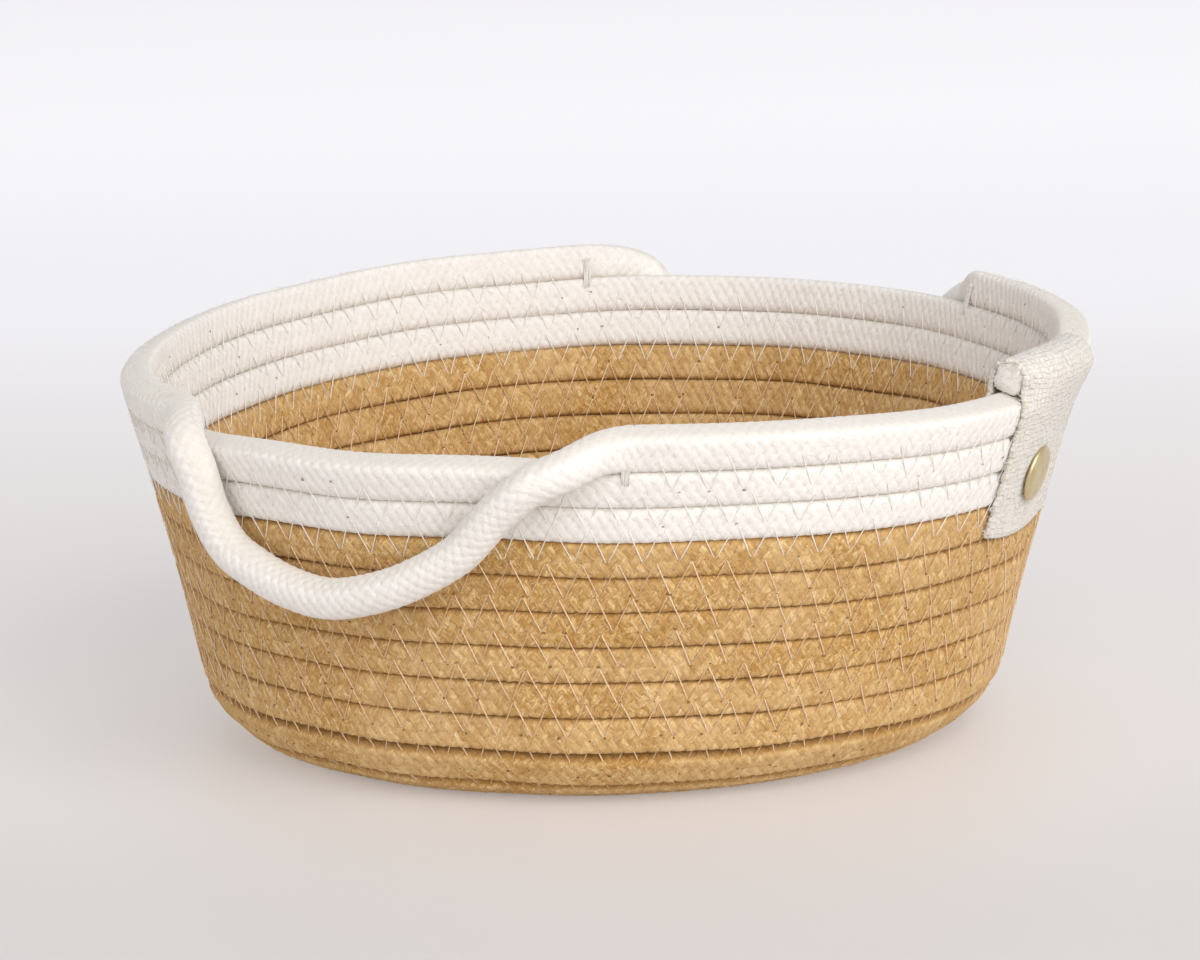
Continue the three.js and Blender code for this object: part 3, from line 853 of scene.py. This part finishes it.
def turned(name, profile, place, material, node):
    """A turned piece from [radius, height] pairs that start and end on the axis."""
    sides = RIVET_SIDES
    profile = np.array(profile, float)
    angle = ring_angles(sides)
    inner = profile[1:-1]
    points = np.stack([
        inner[:, :1] * np.cos(angle), inner[:, :1] * np.sin(angle), np.repeat(inner[:, 1:], sides, 1)], -1)
    points = np.vstack([points.reshape(-1, 3), [0, 0, profile[0, 1]], [0, 0, profile[-1, 1]]])
    count = len(inner) * sides
    faces = [tube_faces(len(inner), sides), end_fans(0, count - sides, count, count + 1, sides)]
    point, right, up, out = place
    world = point + points[:, :1] * right + points[:, 1:2] * up + points[:, 2:] * out
    on_basket(add_object(name, world, faces, None, material), "brass", node)


def rivet_place():
    rows = wall_frame(np.array([RIVET_AZIMUTH]), np.array([RIVET_DISTANCE]))
    point, along, up, out = (row[0] for row in rows)
    right = -along * math.cos(RIVET_TURN) - out * math.sin(RIVET_TURN)
    return hand_sewn(point[None])[0], right, up, out * math.cos(RIVET_TURN) - along * math.sin(RIVET_TURN)


def rivets(material):
    place = rivet_place()
    seat = LABEL_FLAP_DISTANCE + LABEL_THICKNESS / 2 + RIVET_GAP
    shank, cap = RIVET_SHANK, RIVET_RADIUS
    turned("rivet_cap", [
        (0, -seat + 1), (shank, -seat + 1), (shank, seat), (cap - 0.7, seat), (cap - 0.15, seat + 0.12),
        (cap, seat + 0.4), (cap - 0.02, seat + 0.62), (cap - 0.2, seat + 0.85), (cap - 0.5, seat + 1.0),
        (cap - 0.95, seat + 1.12), (cap - 2.0, seat + 1.22), (cap * 0.4, seat + 1.35), (0, seat + 1.4)],
        place, material, "rivet")
    turned("rivet_back_cap", [
        (0, -seat - 1.7), (cap * 0.4, -seat - 1.66), (cap - 1.6, -seat - 1.45), (cap - 0.6, -seat - 1.2),
        (cap - 0.12, -seat - 0.8), (cap, -seat - 0.4), (cap - 0.15, -seat - 0.1), (cap - 0.6, -seat),
        (shank, -seat), (shank, -seat + 1), (0, -seat + 1)],
        place, material, "rivet_back")


# Materials

class Value:
    """An output of a node. Sums and products of values add the nodes for them."""

    def __init__(self, nodes, socket):
        self.nodes, self.socket = nodes, socket

    def __add__(self, other):
        return self.nodes.math("ADD", self, other)

    def __sub__(self, other):
        return self.nodes.math("SUBTRACT", self, other)

    def __rsub__(self, other):
        return self.nodes.math("SUBTRACT", other, self)

    def __mul__(self, other):
        return self.nodes.math("MULTIPLY", self, other)

    def beside(self, output):
        return Value(self.nodes, self.socket.node.outputs[output])


class Nodes:
    """Short calls for the node tree of a material or of the world."""

    def __init__(self, owner, shader="Principled BSDF"):
        owner.use_nodes = True
        self.owner, self.tree = owner, owner.node_tree
        self.shader = self.tree.nodes[shader]

    def feed(self, socket, value):
        if isinstance(value, Value):
            self.tree.links.new(value.socket, socket)
        else:
            socket.default_value = value

    def add(self, kind, output, inputs, **settings):
        """A new node's output. inputs are values by the number or the name of the input."""
        node = self.tree.nodes.new(kind)
        for key, value in settings.items():
            setattr(node, key, value)
        for key, value in inputs.items():
            self.feed(node.inputs[key], value)
        return Value(self, node.outputs[output])

    def math(self, operation, *values, clamp=False):
        return self.add("ShaderNodeMath", 0, dict(enumerate(values)), operation=operation, use_clamp=clamp)

    def mix(self, share, a, b):
        return self.add("ShaderNodeMix", 0, {0: share, 2: a, 3: b}, data_type="FLOAT")

    def blend(self, share, a, b):
        return self.add("ShaderNodeMix", 2, {0: share, 6: a, 7: b}, data_type="RGBA")

    def noise(self, vector, scale, detail=3.0, roughness=0.5):
        inputs = {"Vector": vector, "Scale": scale, "Detail": detail, "Roughness": roughness}
        return self.add("ShaderNodeTexNoise", "Fac", inputs)

    def remap(self, value, low, high, to_low=0.0, to_high=1.0):
        inputs = dict(enumerate((value, low, high, to_low, to_high)))
        return self.add("ShaderNodeMapRange", 0, inputs, interpolation_type="SMOOTHSTEP")

    def combine(self, *values):
        return self.add("ShaderNodeCombineXYZ", 0, dict(enumerate(values)))

    def split(self, vector):
        x = self.add("ShaderNodeSeparateXYZ", 0, {0: vector})
        return x, x.beside(1), x.beside(2)

    def lay(self):
        return self.split(self.add("ShaderNodeUVMap", 0, {}, uv_map="lay"))[:2]

    def place(self):
        return self.add("ShaderNodeTexCoord", "Object", {})

    def layers(self, tone, *layers):
        """The tone with colours blended over it, each as (share, amount, colour)."""
        for share, amount, colour in layers:
            tone = self.blend(share * amount, tone, colour)
        return tone

    def look(self, **inputs):
        """The owner, with the shader's inputs set. Their names have _ for a space."""
        for name, value in inputs.items():
            self.feed(self.shader.inputs[name.replace("_", " ")], value)
        return self.owner

    def bump(self, height, strength, distance):
        return self.add("ShaderNodeBump", 0, {"Height": height, "Strength": strength, "Distance": distance})


def material_nodes(name):
    return Nodes(bpy.data.materials.new(name))


def braid_nodes(n, along, around):
    """The braid of braid_height as nodes: its height, across and along the upper strand, and a number of
    the strand's own."""
    half = around * 0.5
    rising, falling = along + half, along - half
    strands = []
    for over, under, way in ((rising, falling, 0.0), (falling, rising, 1.0)):
        number = n.math("FLOOR", over)
        off_middle = over - number - 0.5
        wide = off_middle * (2 / STRAND_WIDTH)
        crown = n.math("SQRT", n.math("SUBTRACT", 1.0, wide * wide, clamp=True))
        weave = n.math("COSINE", (under - number + (way - 0.5)) * math.pi)
        beside = n.math("GREATER_THAN", n.math("ABSOLUTE", wide), 1.0)
        height = crown * STRAND_CROWN + weave * STRAND_WEAVE - beside * STRAND_EDGE_DROP
        strands.append((height, off_middle, under, number * 7.31 + way * 3.17))
    (first_height, *first), (second_height, *second) = strands
    upper = n.math("GREATER_THAN", second_height, first_height)
    height = n.math("ADD", n.math("MAXIMUM", first_height, second_height), BRAID_LIFT, clamp=True)
    return height, *(n.mix(upper, a, b) for a, b in zip(first, second))


def rope_material(name, colour, deep, pale, groove_shade, groove_shade_share, flecks, cavity_shade, strokes, mottling, bump):
    """Braided cotton: strands of a few yarns each and fibres along them, with painted shade between the
    strands and in the grooves between the turns."""
    n = material_nodes(name)
    along, around = n.lay()
    place = n.place()
    shake = (n.noise(place, 900.0, 2.0) - 0.5) * 0.4
    strand, across, lengthwise, own = braid_nodes(n, along + shake, around)
    yarn = n.noise(n.combine(lengthwise * 0.5, across * 2.1, own), 2.2, 2.0, 0.6)
    fibre = n.noise(n.combine(lengthwise * 1.6, across * 10.0, own), 2.2, 3.0, 0.6)
    height = strand * 0.9 + yarn * 0.8 + fibre * 0.4 + n.noise(place, 2600.0, 2.0) * 0.3
    length_patch = n.noise(n.combine(along * 0.05, 0.0, 0.0), 1.0, 3.0, 0.6)
    mottle = n.noise(place, 420.0, 4.0, 0.65)
    each = n.add("ShaderNodeTexWhiteNoise", "Value", {"W": own}, noise_dimensions="1D")
    wander = (n.noise(place, 300.0, 2.0) - 0.5) * 0.5
    # Towards the grooves between the turns, where painted shade is laid below
    into_groove = n.math("PINGPONG", around, BRAID_ROWS / 4) + wander
    tone = n.layers(
        # Painted shade: darker where the strands sink, between them
        n.blend(n.remap(strand, 0.0, 0.6, 1 - cavity_shade, 1.0), deep, colour),
        # Lighter on raised yarns, darker on low ones: partly their own tone, partly painted light and shade
        (n.remap(yarn, 0.51, 0.62), strokes, pale),
        (n.remap(yarn, 0.37, 0.48, 1.0, 0.0), strokes * 0.8, deep),
        (n.remap(fibre, 0.45, 0.75), strokes * 0.5, pale),
        (n.remap(length_patch, 0.4, 0.7), mottling, pale),
        (n.remap(n.noise(place, 38.0, 3.0), 0.4, 0.7), mottling, pale),
        (n.remap(mottle, 0.3, 0.5, 1.0, 0.0), mottling * 0.8, deep),
        (n.remap(mottle, 0.52, 0.72), mottling, pale),
        (each, strokes * 0.45, deep),
        # Painted shade in the grooves between the turns
        (n.remap(into_groove, 1.85, 2.4), groove_shade_share, groove_shade))
    if flecks:
        spot = n.add("ShaderNodeTexVoronoi", "Distance", {"Vector": place, "Scale": 110.0}, feature="F1")
        rare = n.math("GREATER_THAN", n.split(spot.beside("Color"))[0], 1 - flecks)
        tone = n.layers(tone, (n.remap(spot, 0.03, 0.062, 1.0, 0.0) * rare, 0.6, (0.2, 0.13, 0.07, 1)))
    return n.look(Base_Color=tone, Roughness=0.92, Specular_IOR_Level=0.2, Sheen_Weight=0.35,
                  Sheen_Roughness=0.45, Sheen_Tint=pale, Normal=n.bump(height, bump, 0.0004))


def thread_material(name, dark, light):
    """Twisted sewing thread."""
    n = material_nodes(name)
    along, around = n.lay()
    ply = n.math("SINE", along * 9.0 + around * (CIRCLE * 2)) * 0.5 + 0.5
    worn = n.remap(n.noise(n.place(), 150.0, 2.0), 0.3, 0.7)
    tone = n.layers(n.blend(ply, dark, light), (worn, 0.5, dark))
    return n.look(Base_Color=tone, Roughness=0.6, Sheen_Weight=0.2, Normal=n.bump(ply, 0.5, 0.00006))


def fuzz_material(name, colour):
    return material_nodes(name).look(Base_Color=colour, Roughness=0.8, Sheen_Weight=0.3)


# Needle holes: painted shade
def hole_material(name, dark, light):
    n = material_nodes(name)
    return n.look(Base_Color=n.blend(n.noise(n.place(), 300.0), dark, light), Roughness=1.0)


def tape_material():
    """Cream cotton tape in a plain weave, with painted shade between its yarns, a darker, fuzzy
    selvedge that is partly painted shade, and painted shade with warm reflected light on its inner face.
    """
    n = material_nodes("cotton_tape")
    along, either_across = n.lay()
    inner = n.math("GREATER_THAN", either_across, INNER_FACE / 2)
    across = either_across - inner * INNER_FACE
    place = n.place()
    shake = (n.noise(place, 420.0) - 0.5) * 4.5
    warp, weft = (n.math("SINE", way * (CIRCLE / TAPE_PITCH) + shake) for way in (across, along))
    warp_yarn = n.noise(n.combine(across * 3.0, along * 0.5, 0.0), 1.0)
    weft_yarn = n.noise(n.combine(across * 0.5, along * 3.0, 5.0), 1.0)
    yarn = n.mix(n.math("GREATER_THAN", warp * weft, 0.0), warp_yarn, weft_yarn)
    edge_way = n.math("MINIMUM", n.math("ABSOLUTE", warp), n.math("ABSOLUTE", weft))
    fuzzy = n.noise(place, 1800.0, 3.0)
    height = n.remap(edge_way, 0.0, 0.6) * 0.9 + fuzzy * 0.5 + yarn * 0.7
    edge = n.remap(n.math("ABSOLUTE", across), LABEL_WIDTH * 0.43, LABEL_WIDTH * 0.5)
    tone = n.layers(
        n.blend(n.remap(yarn, 0.35, 0.65), (0.65, 0.605, 0.53, 1), (0.79, 0.755, 0.7, 1)),
        (n.remap(n.noise(place, 500.0), 0.35, 0.65), 0.35, (0.84, 0.815, 0.775, 1)),
        # Painted shade in the gaps between the yarns of the weave
        (n.remap(edge_way, 0.0, 0.45, 1.0, 0.0) * n.remap(fuzzy, 0.35, 0.6), 0.22, (0.46, 0.39, 0.29, 1)),
        # A brown selvedge: partly the darker frayed edge of the tape, partly painted shade in the slit of
        # the fold
        (edge * n.remap(n.noise(place, 420.0), 0.4, 0.65), 0.35, (0.5, 0.37, 0.2, 1)),
        # The inner face, but for its edges, tinted brown: painted shade in the fold, with warm light
        # reflected from the rope
        (inner * (1.0 - edge), 0.6, (0.42, 0.28, 0.15, 1)))
    return n.look(Base_Color=tone, Roughness=0.9, Specular_IOR_Level=0.25, Sheen_Weight=0.2,
                  Normal=n.bump(height, 0.65, 0.00028))


def brass_material():
    """Satin brass with fine scratches and a slight tarnish."""
    n = material_nodes("satin_brass")
    place = n.place()
    stretched = n.add("ShaderNodeMapping", 0, {0: place, "Scale": (4.0, 4.0, 60.0)})
    scratches = n.noise(stretched, 120.0, 2.0)
    tarnish = n.remap(n.noise(place, 260.0, 3.0), 0.35, 0.7)
    return n.look(Base_Color=n.blend(tarnish, (0.74, 0.63, 0.39, 1), (0.64, 0.53, 0.31, 1)), Metallic=1.0,
                  Roughness=n.remap(scratches, 0.2, 0.8, 0.3, 0.48), Normal=n.bump(scratches, 0.15, 0.00005))


# Below, the colours for the grooves between the turns and the darkening where the strands sink are painted
# shade
tan_cotton = rope_material(
    "tan_cotton", colour=(0.59, 0.345, 0.105, 1), deep=(0.38, 0.175, 0.03, 1), pale=(0.84, 0.61, 0.32, 1),
    groove_shade=(0.36, 0.17, 0.03, 1), groove_shade_share=0.6, flecks=0.0, cavity_shade=0.5, strokes=0.95, mottling=0.42,
    bump=0.9)
white_cotton = rope_material(
    "natural_cotton", colour=(0.84, 0.805, 0.755, 1), deep=(0.68, 0.64, 0.58, 1),
    pale=(0.89, 0.865, 0.83, 1), groove_shade=(0.66, 0.61, 0.52, 1), groove_shade_share=0.4, flecks=0.02, cavity_shade=0.4,
    strokes=0.45, mottling=0.18, bump=0.38)
thread = thread_material("sewing_thread", (0.76, 0.53, 0.33, 1), (0.95, 0.79, 0.6, 1))
# A darker copy of the thread for the strokes on the side away from the light: painted shade
shaded_thread = thread_material("shaded_sewing_thread", (0.62, 0.4, 0.2, 1), (0.8, 0.58, 0.37, 1))
white_thread = thread_material("natural_sewing_thread", (0.82, 0.785, 0.73, 1), (0.89, 0.86, 0.81, 1))
# Needle holes: painted shade, dark brown on tan rope and grey-brown on natural rope
hole = hole_material("needle_hole", (0.14, 0.07, 0.025, 1), (0.36, 0.2, 0.08, 1))
white_hole = hole_material("natural_needle_hole", (0.22, 0.16, 0.1, 1), (0.55, 0.47, 0.38, 1))
tan_fuzz = fuzz_material("tan_fuzz", (0.76, 0.53, 0.26, 1))
white_fuzz = fuzz_material("natural_fuzz", (0.88, 0.85, 0.8, 1))
tape = tape_material()
brass = brass_material()


# Camera at the photograph's angle

CAMERA_DISTANCE = 1104.6
CAMERA_HEIGHT = 274.3
CAMERA_AZIMUTH = math.radians(-60.5)
CAMERA_PITCH = 0.19847
CAMERA_ROLL = -0.02868
FOCAL_PIXELS = 5101.2
PICTURE_WIDTH = 1200
PRINCIPAL_SHIFT = 1.68
LAMP_AIM_HEIGHT = 0.05
FLOOR_RADIUS = 9000
FLOOR_SIDES = 96

camera_data = bpy.data.cameras.new("camera")
camera = link_object("camera", camera_data)
bpy.context.scene.camera = camera
camera_data.sensor_width = 36
camera_data.lens = FOCAL_PIXELS / PICTURE_WIDTH * camera_data.sensor_width
camera_data.shift_x = PRINCIPAL_SHIFT / PICTURE_WIDTH
camera_data.clip_start, camera_data.clip_end = 0.05, 50
towards_camera = np.array([math.cos(CAMERA_AZIMUTH), math.sin(CAMERA_AZIMUTH), 0])
camera.location = towards_camera * (CAMERA_DISTANCE * MM) + (0, 0, CAMERA_HEIGHT * MM)
aim = Vector(towards_camera * -math.cos(CAMERA_PITCH) - (0, 0, math.sin(CAMERA_PITCH)))
turn = aim.to_track_quat("-Z", "Y").to_matrix() @ Matrix.Rotation(CAMERA_ROLL, 3, "Z")
camera.rotation_euler = turn.to_euler()


# Ropes

BASE_SPLIT = 5.4
TAN_LOOK = (TAN_RELIEF, tan_cotton, TAN_SQUARENESS, TAN_HALF_UP)
WHITE_LOOK = (WHITE_RELIEF, white_cotton, WHITE_SQUARENESS, WHITE_HALF_UP)
WHITE_STEP, WHITE_SIDES = 0.48, 48

piece = base_start("base_rope_start", BASE_SPLIT, step=0.9, sides=30)
on_basket(piece, "dyed_rope", "base_coil")
piece = coil("base_rope_rim", BASE_SPLIT, BASE_TURNS, step=0.85, sides=32, look=TAN_LOOK, ground=True)
on_basket(piece, "dyed_rope")
for index in range(8):
    turn = BASE_TURNS + index
    piece = coil(f"wall_rope_{index + 1}", turn, turn + 1, step=0.54, sides=44, look=TAN_LOOK,
                 ground=index == 0)
    on_basket(piece, "dyed_rope", *(["wall_coil"] if index == 0 else []))

front_seat, back_seat = handle_seat(-CIRCLE / 4), handle_seat(CIRCLE / 4)
seats = (("front", front_seat), ("back", back_seat))
for name, from_turns, to_turns, *nodes in (
        ("white_rope_1", TAN_TURNS, TAN_TURNS + 1, "white_coil"),
        ("white_rope_2", TAN_TURNS + 1, TAN_TURNS + 2),
        ("white_rope_3", TAN_TURNS + 2, front_seat[0]),
        ("rim_left_rope", front_seat[1], back_seat[0], "rim_left")):
    piece = coil(name, from_turns, to_turns, WHITE_STEP, WHITE_SIDES, WHITE_LOOK)
    on_basket(piece, "natural_rope", *nodes)
piece = rope_end("rim_right_rope", back_seat[1], WHITE_STEP, WHITE_SIDES)
on_basket(piece, "natural_rope", "rim_right")
cut_end_fibres("cut_end_fibres", CUT_END_FIBRES, white_fuzz)

for handle_name, seat in seats:
    for half, half_name in enumerate(("first", "second")):
        piece = handle_half(f"{handle_name}_handle_{half_name}", seat, handle_name == "back", half)
        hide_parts(f"{handle_name}_handle")

tan_runs, white_runs = seam_runs(front_seat, back_seat)
sides_of_wall = (("outside", 1), ("inside", -1))
for name, side in sides_of_wall:
    seam(f"tan_seam_{name}", side, tan_runs, thread, shaded_thread, hole, hole_share=0.5)
    seam(f"white_seam_{name}", side, white_runs, white_thread, white_thread, white_hole, hole_share=0.08,
         sunk=0.13)

for handle_name, seat in seats:
    inset = BARTACK_INSET / CIRCLE / profile_at(seat[0] * PITCH)[0]
    for end_name, turns in (("first", seat[0] + inset), ("last", seat[1] - inset)):
        for side_name, side in sides_of_wall:
            bartack(f"bartack_{handle_name}_{end_name}_{side_name}", turns, side, white_thread)

for index in range(4):
    first = BASE_TURNS + 2 * index
    coil_fuzz(f"wall_fuzz_{index + 1}", WALL_FIBRES, first, first + 2, ROPE_HALF_OUT, tan_fuzz,
              "dyed_rope")
coil_fuzz("base_fuzz", BASE_FIBRES, START_TURNS + 0.5, BASE_TURNS, ROPE_HALF_OUT - 0.1, tan_fuzz,
          "dyed_rope")
coil_fuzz("white_fuzz", WHITE_FIBRES, TAN_TURNS, front_seat[0], ROPE_HALF_OUT, white_fuzz, "natural_rope")
rim_runs = (("left", front_seat[1], back_seat[0]), ("right", back_seat[1], TOTAL_TURNS))
for name, from_turns, to_turns in rim_runs:
    crest_fuzz(f"rim_fuzz_{name}", CREST_FIBRES, from_turns, to_turns, white_fuzz)

label(tape)
rivets(brass)


# Studio

def floor():
    n = material_nodes("pale_table")
    x, y, _ = n.split(n.place())
    away = x * -towards_camera[0] + y * -towards_camera[1]
    # The table is darker and warmer near the basket, paler and bluer away from it
    tone = n.layers(
        n.blend(n.remap(away, 0.16, 0.6), (0.5, 0.475, 0.46, 1), (0.8, 0.8, 0.83, 1)),
        (n.noise(n.place(), 3.0, 2.0), 0.05, (0.6, 0.57, 0.54, 1)))
    # Painted light: the table glows, with a strength that changes with the distance from the camera, which
    # lifts it and softens the shadows on it
    glow = n.remap(away, -0.2, 0.05, 0.2, 0.34) + n.remap(away, 0.2, 0.45, 0.0, -0.05)
    glow = glow + n.remap(away, 0.5, 1.1, 0.0, 0.12)
    material = n.look(Base_Color=tone, Emission_Color=(1, 0.975, 0.965, 1), Emission_Strength=glow,
                      Roughness=0.55, Specular_IOR_Level=0.3)
    angle = ring_angles(FLOOR_SIDES)
    ring = np.stack([np.cos(angle), np.sin(angle), np.zeros(FLOOR_SIDES)], -1) * FLOOR_RADIUS
    add_object("floor", ring, [np.arange(FLOOR_SIDES)[None]], None, material, smooth=False)


def area_light(name, right, near, height, size, power, colour):
    """A light at so many metres right of the basket, towards the camera and up, that faces the basket."""
    x, y, _ = towards_camera
    place = Vector((-y, x, 0)) * right + Vector((x, y, 0)) * near + Vector((0, 0, height))
    data = bpy.data.lights.new(name, "AREA")
    data.shape = "RECTANGLE"
    data.size, data.size_y = size
    data.energy = power
    data.color = colour
    lamp = link_object(name, data)
    lamp.location = place
    lamp.rotation_euler = (Vector((0, 0, LAMP_AIM_HEIGHT)) - place).to_track_quat("-Z", "Y").to_euler()


def studio():
    floor()
    area_light("key", right=0.75, near=1.2, height=0.95, size=(1.7, 1.4), power=25, colour=(1.0, 0.98, 0.96))
    area_light("fill", right=-1.3, near=0.9, height=0.8, size=(1.6, 1.4), power=5, colour=(1.0, 0.96, 0.93))
    n = Nodes(bpy.data.worlds.new("studio"), "Background")
    height = n.split(n.add("ShaderNodeTexCoord", "Generated", {}))[2]
    dimmer_above = n.add("ShaderNodeMapRange", 0, {"Value": height, "To Min": 0.86, "To Max": 0.36})
    bpy.context.scene.world = n.look(Color=(0.95, 0.95, 1.0, 1), Strength=dimmer_above)
    bpy.context.scene.view_settings.view_transform = "Standard"


studio()
